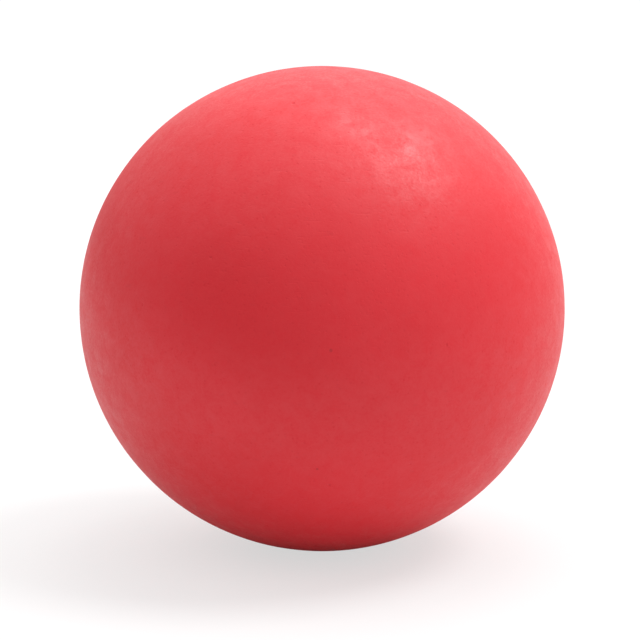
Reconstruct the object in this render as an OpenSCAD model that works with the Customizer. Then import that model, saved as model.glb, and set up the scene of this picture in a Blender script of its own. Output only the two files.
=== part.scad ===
// Solid rubber massage ball, pressed in one piece in a two-part mould.
// The origin is the centre of the ball, and the mould opens along Y.

/* [Ball] */
// Diameter over the two poles of the mould
ball_d = 63; // [50:1:80]

/* [Parting line] */
// Width of the land left where the flash was ground off, round the middle of the ball
land_w = 2.4; // [1:0.2:5]

/* [Hidden] */
$fn = 180;

ball_r = ball_d / 2;
// The land is a stretch of cylinder about the mould's axis, and its edges lie on the sphere
land_r = sqrt(pow(ball_r, 2) - pow(land_w / 2, 2));

// A sphere whose poles are on Y, cut back to the land round its middle
module ball() {
    color([0.86, 0.24, 0.27])
        rotate([90, 0, 0])
            intersection() {
                sphere(r = ball_r);
                cylinder(r = land_r, h = ball_d, center = true);
            }
}

ball();
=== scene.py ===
import math
import random

import bpy
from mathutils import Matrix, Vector


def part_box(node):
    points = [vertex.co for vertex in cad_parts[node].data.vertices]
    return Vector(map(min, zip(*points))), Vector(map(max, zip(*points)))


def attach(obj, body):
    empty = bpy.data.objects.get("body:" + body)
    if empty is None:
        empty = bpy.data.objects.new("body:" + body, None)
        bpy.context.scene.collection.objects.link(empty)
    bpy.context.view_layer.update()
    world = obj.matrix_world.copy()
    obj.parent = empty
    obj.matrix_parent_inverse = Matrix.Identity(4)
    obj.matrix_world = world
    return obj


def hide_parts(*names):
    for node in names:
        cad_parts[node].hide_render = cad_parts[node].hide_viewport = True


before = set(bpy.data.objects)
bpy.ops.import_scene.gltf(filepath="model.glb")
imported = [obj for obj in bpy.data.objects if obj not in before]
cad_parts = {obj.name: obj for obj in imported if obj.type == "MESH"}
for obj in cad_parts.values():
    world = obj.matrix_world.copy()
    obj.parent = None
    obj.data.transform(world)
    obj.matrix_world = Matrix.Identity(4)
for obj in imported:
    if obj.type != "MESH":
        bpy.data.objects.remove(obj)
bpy.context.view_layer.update()        # one body, "root", with one node, "ball"
lowCorner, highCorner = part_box("ball")
ballCentre = (lowCorner + highCorner) / 2
ballRadius = (highCorner.y - lowCorner.y) / 2     # over the two poles of the mould
landRadius = (highCorner.x - lowCorner.x) / 2     # over the ground land round the middle
landHalf = math.sqrt(ballRadius ** 2 - landRadius ** 2)
mm = 0.001
print("frame loaded: ball of", round(2 * ballRadius / mm, 2), "mm,",
      "land", round(2 * landHalf / mm, 2), "mm wide")


# small helpers for the node trees; new nodes stand in rows, in the order they are made

nodeRows = {"length": 8, "across": 220, "down": 400}


def addNode(tree, kind, **settings):
    row, column = divmod(len(tree.nodes), nodeRows["length"])
    node = tree.nodes.new(kind)
    node.location = (column * nodeRows["across"], -row * nodeRows["down"])
    for name, value in settings.items():
        setattr(node, name, value)
    return node


def noise(tree, coords, scale, detail=2.0, rough=0.5, warp=0.0):
    node = addNode(tree, "ShaderNodeTexNoise")
    node.inputs["Scale"].default_value = scale
    node.inputs["Detail"].default_value = detail
    node.inputs["Roughness"].default_value = rough
    node.inputs["Distortion"].default_value = warp
    tree.links.new(coords, node.inputs["Vector"])
    return node.outputs["Fac"]


def remap(tree, value, fromRange, toRange, soft=True):
    node = addNode(tree, "ShaderNodeMapRange", clamp=True)
    node.interpolation_type = "SMOOTHSTEP" if soft else "LINEAR"
    tree.links.new(value, node.inputs["Value"])
    node.inputs["From Min"].default_value = fromRange[0]
    node.inputs["From Max"].default_value = fromRange[1]
    node.inputs["To Min"].default_value = toRange[0]
    node.inputs["To Max"].default_value = toRange[1]
    return node.outputs["Result"]


def maths(tree, operation, first, second):
    node = addNode(tree, "ShaderNodeMath", operation=operation)
    for socket, value in zip(node.inputs, (first, second)):
        if isinstance(value, (int, float)):
            socket.default_value = value
        else:
            tree.links.new(value, socket)
    return node.outputs["Value"]


def mixColour(tree, amount, first, second):
    node = addNode(tree, "ShaderNodeMix", data_type="RGBA")
    tree.links.new(amount, node.inputs["Factor"])
    for socket, value in ((node.inputs[6], first), (node.inputs[7], second)):
        if isinstance(value, tuple):
            socket.default_value = (*value, 1)
        else:
            tree.links.new(value, socket)
    return node.outputs[2]


def stretched(tree, coords, stretch, turn=(0, 0, 0)):
    node = addNode(tree, "ShaderNodeMapping")
    node.inputs["Scale"].default_value = stretch
    node.inputs["Rotation"].default_value = turn
    tree.links.new(coords, node.inputs["Vector"])
    return node.outputs["Vector"]


def streaks(tree, coords, stretch, turn=(0, 0, 0), detail=1.0, rough=0.5):
    return noise(tree, stretched(tree, coords, stretch, turn), 1.0, detail=detail, rough=rough)


def scatter(tree, coords, scale, rarity, dotSize):
    # soft round dots, one in some of the cells: 1 in a dot's middle, 0 between them
    cells = addNode(tree, "ShaderNodeTexVoronoi")
    cells.inputs["Scale"].default_value = scale
    tree.links.new(coords, cells.inputs["Vector"])
    chance = addNode(tree, "ShaderNodeSeparateColor")
    tree.links.new(cells.outputs["Color"], chance.inputs["Color"])
    chosen = maths(tree, "GREATER_THAN", chance.outputs["Red"], rarity)
    dot = remap(tree, cells.outputs["Distance"], dotSize, (1, 0))
    return maths(tree, "MULTIPLY", dot, chosen)


def spot(tree, coords, way, fade, most):
    # one soft round spot on the ball's surface, in the direction "way" from its middle; fade is in mm
    node = addNode(tree, "ShaderNodeVectorMath", operation="DISTANCE")
    tree.links.new(coords, node.inputs[0])
    node.inputs[1].default_value = Vector(way).normalized() * ballRadius / mm
    return remap(tree, node.outputs["Value"], fade, (most, 0))


def bump(tree, height, distance, below=None):
    node = addNode(tree, "ShaderNodeBump")
    node.inputs["Strength"].default_value = 1.0
    node.inputs["Distance"].default_value = distance
    tree.links.new(height, node.inputs["Height"])
    if below is not None:
        tree.links.new(below, node.inputs["Normal"])
    return node.outputs["Normal"]


# the ball

ballSpec = {
    "cuts": 2,                # across each side of the starting cube
    "levels": 5,              # subdivisions after that, for faces about half a millimetre wide
    "onCut": 0.02 * mm,       # a point this near a cut, or another point, counts as on it
    "mergeLand": 0.05 * mm,   # and this near while the land's edges are marked
    "waveSize": 9 * mm,       # slow unevenness left by the grinding
    "waveHeight": 0.05 * mm,
    "pebbleSize": 2.4 * mm,   # finer unevenness on top of it
    "pebbleHeight": 0.012 * mm,
    "grooveHalf": 0.09 * mm,  # hairline where the two halves of the mould met
    "grooveDepth": 0.02 * mm,
    "pinholes": ((16, 0.10, 0.03), (12, 0.07, 0.045), (5, 0.04, 0.06)),   # how many, rim and depth in mm
    "pinholeSeed": 11,
    "pinholeReach": 0.9,      # how near the poles they come, as a share of the radius
    "pinholeRoom": 0.12 * mm * mm,  # least area of a face that takes a pinhole
    "pinholeWall": 0.05 * mm,
}


def selectOnly(thing):
    bpy.ops.object.select_all(action="DESELECT")
    thing.select_set(True)
    bpy.context.view_layer.objects.active = thing


def applyModifier(thing, name, kind, **settings):
    modifier = thing.modifiers.new(name, kind)
    for key, value in settings.items():
        setattr(modifier, key, value)
    bpy.ops.object.modifier_apply(modifier=modifier.name)


def selectPoints(thing, wanted):
    bpy.ops.object.mode_set(mode="EDIT")
    bpy.ops.mesh.select_all(action="DESELECT")
    bpy.ops.mesh.select_mode(type="VERT")
    bpy.ops.object.mode_set(mode="OBJECT")
    for vertex in thing.data.vertices:
        vertex.select = wanted(vertex.co)
    bpy.ops.object.mode_set(mode="EDIT")


def selectFaces(thing, chosen):
    bpy.ops.object.mode_set(mode="EDIT")
    bpy.ops.mesh.select_mode(type="FACE")
    bpy.ops.mesh.select_all(action="DESELECT")
    bpy.ops.object.mode_set(mode="OBJECT")
    for face in thing.data.polygons:
        face.select = face.index in chosen
    bpy.ops.object.mode_set(mode="EDIT")


def roundBlank():
    bpy.ops.object.select_all(action="DESELECT")
    bpy.ops.mesh.primitive_cube_add(size=2 * ballRadius, location=ballCentre)
    blank = bpy.context.object
    blank.name = blank.data.name = "rubberBall"
    bpy.ops.object.mode_set(mode="EDIT")
    bpy.ops.mesh.select_all(action="SELECT")
    bpy.ops.mesh.subdivide(number_cuts=ballSpec["cuts"])
    bpy.ops.transform.tosphere(value=1)
    bpy.ops.object.mode_set(mode="OBJECT")
    applyModifier(blank, "divide", "SUBSURF", levels=ballSpec["levels"], render_levels=ballSpec["levels"])
    applyModifier(blank, "round", "CAST", cast_type="SPHERE", factor=1, size=ballRadius,
                  use_radius_as_size=False)
    return blank


def grindLand(ball):
    # the mould's axis is still on Z here; two cuts mark the edges of the land
    bpy.ops.object.mode_set(mode="EDIT")
    for side in (landHalf, -landHalf):
        bpy.ops.mesh.select_all(action="SELECT")
        bpy.ops.mesh.bisect(plane_co=(0, 0, side), plane_no=(0, 0, 1), threshold=ballSpec["onCut"])
    bpy.ops.mesh.select_all(action="SELECT")
    bpy.ops.mesh.remove_doubles(threshold=ballSpec["mergeLand"])
    bpy.ops.object.mode_set(mode="OBJECT")
    edge = landHalf + ballSpec["onCut"] / 2
    land = ball.vertex_groups.new(name="land")
    land.add([vertex.index for vertex in ball.data.vertices if abs(vertex.co.z) < edge], 1, "REPLACE")
    applyModifier(ball, "grind", "CAST", cast_type="CYLINDER", factor=1, size=landRadius,
                  use_radius_as_size=False, vertex_group="land")
    ball.vertex_groups.clear()


def cutHairline(ball):
    onLine = 0.001 * mm
    selectPoints(ball, lambda co: abs(co.z) < onLine)
    bpy.ops.mesh.bevel(offset=ballSpec["grooveHalf"], segments=2, affect="EDGES")
    bpy.ops.object.mode_set(mode="OBJECT")
    selectPoints(ball, lambda co: abs(co.z) < onLine)
    inward = 1 - ballSpec["grooveDepth"] / landRadius
    bpy.ops.transform.resize(value=(inward, inward, 1), center_override=ballCentre)
    bpy.ops.mesh.select_all(action="SELECT")
    bpy.ops.mesh.remove_doubles(threshold=ballSpec["onCut"])
    bpy.ops.object.mode_set(mode="OBJECT")


def roughen(ball, name, size, height):
    pattern = bpy.data.textures.new(name, "CLOUDS")
    pattern.noise_basis = "IMPROVED_PERLIN"
    pattern.noise_scale = size
    pattern.noise_depth = 1
    applyModifier(ball, name, "DISPLACE", texture=pattern, texture_coords="LOCAL", direction="NORMAL",
                  mid_level=0.5, strength=height)


def pressPinholes(ball):
    draw = random.Random(ballSpec["pinholeSeed"])
    reach = ballSpec["pinholeReach"]
    for count, rim, depth in ballSpec["pinholes"]:
        chosen = set()
        roomy = [face for face in ball.data.polygons if face.area > ballSpec["pinholeRoom"]]
        for _ in range(count):
            upright = draw.uniform(-reach, reach)
            turn = draw.uniform(0, 2 * math.pi)
            flat = math.sqrt(1 - upright ** 2)
            aim = Vector((flat * math.cos(turn), flat * math.sin(turn), upright))
            chosen.add(max(roomy, key=lambda face: face.center.dot(aim)).index)
        selectFaces(ball, chosen)
        bpy.ops.mesh.inset(thickness=rim * mm, depth=0, use_individual=True)
        bpy.ops.mesh.inset(thickness=ballSpec["pinholeWall"], depth=-depth * mm, use_individual=True)
        bpy.ops.object.mode_set(mode="OBJECT")


def makeBall():
    ball = roundBlank()
    grindLand(ball)
    cutHairline(ball)
    roughen(ball, "waves", ballSpec["waveSize"], ballSpec["waveHeight"])
    roughen(ball, "pebble", ballSpec["pebbleSize"], ballSpec["pebbleHeight"])
    pressPinholes(ball)
    selectOnly(ball)
    ball.rotation_euler = (math.pi / 2, 0, 0)     # mould's axis from Z to Y
    bpy.ops.object.transform_apply(location=True, rotation=True, scale=True)
    bpy.ops.object.shade_smooth()
    return ball


ball = makeBall()
print("ball made:", len(ball.data.polygons), "faces")


# the rubber; its patterns have their scales and sizes in mm, and a pair is where a pattern starts and ends

rubberSpec = {
    # colour
    "deepRed": (0.692, 0.0084, 0.0180),
    "freshRed": (0.712, 0.0098, 0.0204),
    "pigment": {"scale": 0.07},           # how the two reds lie on the ball
    "pigmentRange": (0.35, 0.65),
    "mottle": {"scale": 0.5, "detail": 6.0, "rough": 0.68, "warp": 0.5},   # duller and smoother skin
    "bloomPink": (0.72, 0.06, 0.07),      # faint chalky bloom on handled rubber
    "bloomRange": (0.46, 0.74),
    "bloomMost": 0.03,
    "markAndShadeRed": (0.30, 0.0022, 0.0065),    # painted shade in the pits, dust pressed into the skin and light scuffs
    "pits": {"scale": 1.5, "rarity": 0.5, "dotSize": (0.05, 0.30)},
    # how far the pits are darkened, as painted shade
    "pitShadeMost": 0.07,
    "specks": {"scale": 0.2, "rarity": 0.88, "dotSize": (0.02, 0.05)},
    "speckMost": 0.45,
    "vent": (0.032, -1.0, -0.01),         # which way the mark of the mould's vent lies from the middle
    "ventSize": (0.10, 0.26),
    "scuffs": {"stretch": (0.5, 0.5, 1.6), "turn": (0.2, 0.1, 0.3), "detail": 3.0, "rough": 0.7},
    "scuffRange": (0.64, 0.72),
    "scuffMost": 0.07,
    # roughness
    "dullRange": (0.30, 0.70),            # stretch of the mottle that goes from rough to smooth
    "roughHigh": 0.67,
    "roughLow": 0.50,
    "grain": {"scale": 3.4, "detail": 3.0, "rough": 0.65},
    "grainRange": (0.3, 0.7),
    "grainRough": 0.09,                   # how much the grain adds or takes away
    "landRough": -0.05,
    "pitRough": 0.1,
    # gloss
    "ior": 1.5,
    "gloss": 0.54,
    "sheen": 0.02,
    "sheenRough": 0.45,
    "sheenTint": (1.0, 0.86, 0.86, 1.0),
    "coat": (0.07, 0.13),                 # least and most of the smoother skin
    "coatRange": (0.36, 0.66),
    "coatRough": 0.36,
    # spots rubbed smooth: which way each lies from the middle, its reach, and how much more coat it has
    "rubbed": (
        ((0.33, -0.65, 0.68), 2.6, 0.10),
        ((0.13, -0.62, 0.78), 3.6, 0.30),
        ((0.38, -0.57, 0.73), 5.0, 0.26),
    ),
    "rubbedRange": (0.40, 0.60),          # stretch of the mottle that breaks the spots up
    "rubbedLeast": 0.4,
    # relief finer than the mesh
    "grainDeep": 0.018 * mm,
    "pitDeep": 0.009 * mm,
    "scratches": (
        {"stretch": (0.2, 3.2, 3.2), "turn": (0.3, 0.5, 1.1)},
        {"stretch": (3.4, 0.22, 3.4), "turn": (0.9, 0.2, 0.4)},
    ),
    "scratchRange": (0.66, 0.74),
    "scratchDeep": 0.006 * mm,
    "grindLines": {"stretch": (0.04, 8.0, 0.04)},
    "grindDeep": 0.005 * mm,
    "landBlend": 0.08,                    # how softly the land's edges fade
}


def landMask(tree, coords):
    # 1 on the ground land round the middle, 0 elsewhere, from the distance along the mould's axis
    parts = addNode(tree, "ShaderNodeSeparateXYZ")
    tree.links.new(coords, parts.inputs["Vector"])
    along = maths(tree, "ABSOLUTE", parts.outputs["Y"], 0.0)
    edge = landHalf / mm
    blend = rubberSpec["landBlend"]
    return remap(tree, along, (edge - blend, edge + blend), (1, 0))


def rubberColour(tree, coords, mottle, pits):
    # pigment that isn't quite even, a trace of chalky bloom in patches, deep red in the marks, and painted
    # shade darkening the pits
    spec = rubberSpec
    pigment = remap(tree, noise(tree, coords, **spec["pigment"]), spec["pigmentRange"], (0, 1))
    colour = mixColour(tree, pigment, spec["deepRed"], spec["freshRed"])
    bloom = remap(tree, mottle, spec["bloomRange"], (0, spec["bloomMost"]))
    colour = mixColour(tree, bloom, colour, spec["bloomPink"])
    specks = scatter(tree, coords, **spec["specks"])
    scuffs = streaks(tree, coords, **spec["scuffs"])
    scuffs = remap(tree, scuffs, spec["scuffRange"], (0, spec["scuffMost"]))
    vent = spot(tree, coords, spec["vent"], spec["ventSize"], spec["speckMost"])
    # the pits are darkened in the colour as painted shade; specks, scuffs and the vent mark are the
    # rubber's own marks
    marksAndPitShade = maths(tree, "MAXIMUM", maths(tree, "MULTIPLY", pits, spec["pitShadeMost"]), scuffs)
    marksAndPitShade = maths(tree, "MAXIMUM", marksAndPitShade, maths(tree, "MULTIPLY", specks, spec["speckMost"]))
    marksAndPitShade = maths(tree, "MAXIMUM", marksAndPitShade, vent)
    return mixColour(tree, marksAndPitShade, colour, spec["markAndShadeRed"])


def rubberRoughness(tree, mottle, grain, pits, land):
    # duller and smoother patches, smoother again on the ground land
    spec = rubberSpec
    dull = remap(tree, mottle, spec["dullRange"], (spec["roughHigh"], spec["roughLow"]), soft=False)
    fine = remap(tree, grain, spec["grainRange"], (-spec["grainRough"], spec["grainRough"]), soft=False)
    roughness = maths(tree, "ADD", dull, fine)
    roughness = maths(tree, "ADD", roughness, maths(tree, "MULTIPLY", land, spec["landRough"]))
    return maths(tree, "ADD", roughness, maths(tree, "MULTIPLY", pits, spec["pitRough"]))


def rubberCoat(tree, coords, mottle):
    # a smoother skin in patches and where the ball was rubbed, which catches the lamps in pale patches
    spec = rubberSpec
    coat = remap(tree, mottle, spec["coatRange"], spec["coat"], soft=False)
    broken = remap(tree, mottle, spec["rubbedRange"], (spec["rubbedLeast"], 1))
    for way, reach, extra in spec["rubbed"]:
        rubbed = maths(tree, "MULTIPLY", spot(tree, coords, way, (0, reach), extra), broken)
        coat = maths(tree, "ADD", coat, rubbed)
    return coat


def rubberRelief(tree, coords, grain, pits, land):
    # grain, pits, stray scratches, and the lines of the grinding on the land
    spec = rubberSpec
    normal = bump(tree, grain, spec["grainDeep"])
    normal = bump(tree, maths(tree, "MULTIPLY", pits, -1.0), spec["pitDeep"], below=normal)
    across, along = (streaks(tree, coords, **scratch) for scratch in spec["scratches"])
    scratches = remap(tree, maths(tree, "MAXIMUM", across, along), spec["scratchRange"], (0, -1))
    normal = bump(tree, scratches, spec["scratchDeep"], below=normal)
    lines = maths(tree, "MULTIPLY", streaks(tree, coords, **spec["grindLines"]), land)
    return bump(tree, lines, spec["grindDeep"], below=normal)


def makeRubber():
    spec = rubberSpec
    rubber = bpy.data.materials.new("redRubber")
    rubber.use_nodes = True
    tree = rubber.node_tree
    shader = tree.nodes["Principled BSDF"]
    place = addNode(tree, "ShaderNodeTexCoord")
    coords = stretched(tree, place.outputs["Object"], (1 / mm, 1 / mm, 1 / mm))
    mottle = noise(tree, coords, **spec["mottle"])
    grain = noise(tree, coords, **spec["grain"])
    pits = scatter(tree, coords, **spec["pits"])
    land = landMask(tree, coords)
    tree.links.new(rubberColour(tree, coords, mottle, pits), shader.inputs["Base Color"])
    tree.links.new(rubberRoughness(tree, mottle, grain, pits, land), shader.inputs["Roughness"])
    tree.links.new(rubberCoat(tree, coords, mottle), shader.inputs["Coat Weight"])
    tree.links.new(rubberRelief(tree, coords, grain, pits, land), shader.inputs["Normal"])
    shader.inputs["IOR"].default_value = spec["ior"]
    shader.inputs["Specular IOR Level"].default_value = spec["gloss"]
    shader.inputs["Coat Roughness"].default_value = spec["coatRough"]
    shader.inputs["Sheen Weight"].default_value = spec["sheen"]
    shader.inputs["Sheen Roughness"].default_value = spec["sheenRough"]
    shader.inputs["Sheen Tint"].default_value = spec["sheenTint"]
    return rubber


ball.data.materials.clear()
ball.data.materials.append(makeRubber())
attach(ball, "root")
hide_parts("ball")
print("rubber on")


# table, lamps and room

studioSpec = {
    "tableSize": 12.0,
    "tableFront": 3 * ballRadius,      # from the ball's middle to the table's front edge
    "tableWhite": 0.69,
    "tableRough": 0.9,
    "tableGlow": 0.6,                  # share of the table's look that is its own even white
    "room": 0.256,                     # what the dim room round the ball sends back
    "backdrop": 1.05,
    "lamps": {                         # soft lamps; angles in degrees
        "key": {"turn": 89, "height": 59, "spread": 24, "strength": 1.74},
        "side": {"turn": 68, "height": 49, "spread": 160, "strength": 1.47},
        "back": {"turn": 165, "height": 28, "spread": 70, "strength": 0.74},
        "top": {"turn": 135, "height": 79, "spread": 22, "strength": 0.48},
        "ceiling": {"turn": 240, "height": 60, "spread": 96, "strength": 1.17},
    },
}


def makeFloor():
    bpy.ops.object.select_all(action="DESELECT")
    behind = studioSpec["tableSize"] / 2 - studioSpec["tableFront"]
    bpy.ops.mesh.primitive_plane_add(size=studioSpec["tableSize"], location=(0, behind, lowCorner.z))
    floor = bpy.context.object
    floor.name = "paleTable"
    floor.data.materials.append(makePaper())
    bpy.ops.object.transform_apply(location=True, rotation=True, scale=True)


def makePaper():
    paper = bpy.data.materials.new("palePaper")
    paper.use_nodes = True
    tree = paper.node_tree
    shader = tree.nodes["Principled BSDF"]
    white = studioSpec["tableWhite"]
    shader.inputs["Base Color"].default_value = (white, white, white, 1)
    shader.inputs["Roughness"].default_value = studioSpec["tableRough"]
    shader.inputs["Specular IOR Level"].default_value = 0.0
    # the camera sees the table partly as evenly lit white, which keeps the ball's shadow pale
    glow = addNode(tree, "ShaderNodeEmission")
    glow.inputs["Strength"].default_value = studioSpec["backdrop"]
    ray = addNode(tree, "ShaderNodeLightPath")
    share = maths(tree, "MULTIPLY", ray.outputs["Is Camera Ray"], studioSpec["tableGlow"])
    blend = addNode(tree, "ShaderNodeMixShader")
    tree.links.new(share, blend.inputs["Fac"])
    tree.links.new(shader.outputs["BSDF"], blend.inputs[1])
    tree.links.new(glow.outputs["Emission"], blend.inputs[2])
    tree.links.new(blend.outputs["Shader"], tree.nodes["Material Output"].inputs["Surface"])
    return paper


def addLamp(name, turn, height, spread, strength):
    # turn is measured from straight in front of the ball towards its right, height from the floor
    around = math.radians(turn)
    above = math.radians(height)
    bpy.ops.object.light_add(type="SUN", rotation=(math.pi / 2 - above, 0, around))
    lamp = bpy.context.object
    lamp.name = name
    lamp.data.angle = math.radians(spread)
    lamp.data.energy = strength


def makeWorld():
    # the camera sees the white backdrop; the ball is lit by the dimmer room
    world = bpy.data.worlds.new("paleStudio")
    bpy.context.scene.world = world
    world.use_nodes = True
    tree = world.node_tree
    room = tree.nodes["Background"]
    backdrop = addNode(tree, "ShaderNodeBackground")
    for background, strength in ((room, studioSpec["room"]), (backdrop, studioSpec["backdrop"])):
        background.inputs["Color"].default_value = (1, 1, 1, 1)
        background.inputs["Strength"].default_value = strength
    ray = addNode(tree, "ShaderNodeLightPath")
    choice = addNode(tree, "ShaderNodeMixShader")
    tree.links.new(ray.outputs["Is Camera Ray"], choice.inputs["Fac"])
    tree.links.new(room.outputs["Background"], choice.inputs[1])
    tree.links.new(backdrop.outputs["Background"], choice.inputs[2])
    tree.links.new(choice.outputs["Shader"], tree.nodes["World Output"].inputs["Surface"])


# camera

cameraSpec = {
    "height": 8,                       # degrees above the horizon
    "distance": 7 * ballRadius,
    "lens": 94.6,
    "nudge": (0.07, 0.385),            # degrees that the view is turned left and tipped down
    "clip": (0.01, 30),
}


def makeCamera():
    up = math.radians(cameraSpec["height"])
    away = cameraSpec["distance"]
    place = ballCentre + Vector((0, -away * math.cos(up), away * math.sin(up)))
    left, down = (math.radians(angle) for angle in cameraSpec["nudge"])
    bpy.ops.object.camera_add(location=place, rotation=(math.pi / 2 - up - down, 0, left))
    camera = bpy.context.object
    camera.name = "frontCamera"
    camera.data.lens = cameraSpec["lens"]
    camera.data.clip_start, camera.data.clip_end = cameraSpec["clip"]
    bpy.context.scene.camera = camera


makeFloor()
for lampName, lampSpec in studioSpec["lamps"].items():
    addLamp(lampName + "Softbox", **lampSpec)
makeWorld()
makeCamera()
bpy.context.scene.view_settings.view_transform = "Standard"
print("studio ready")
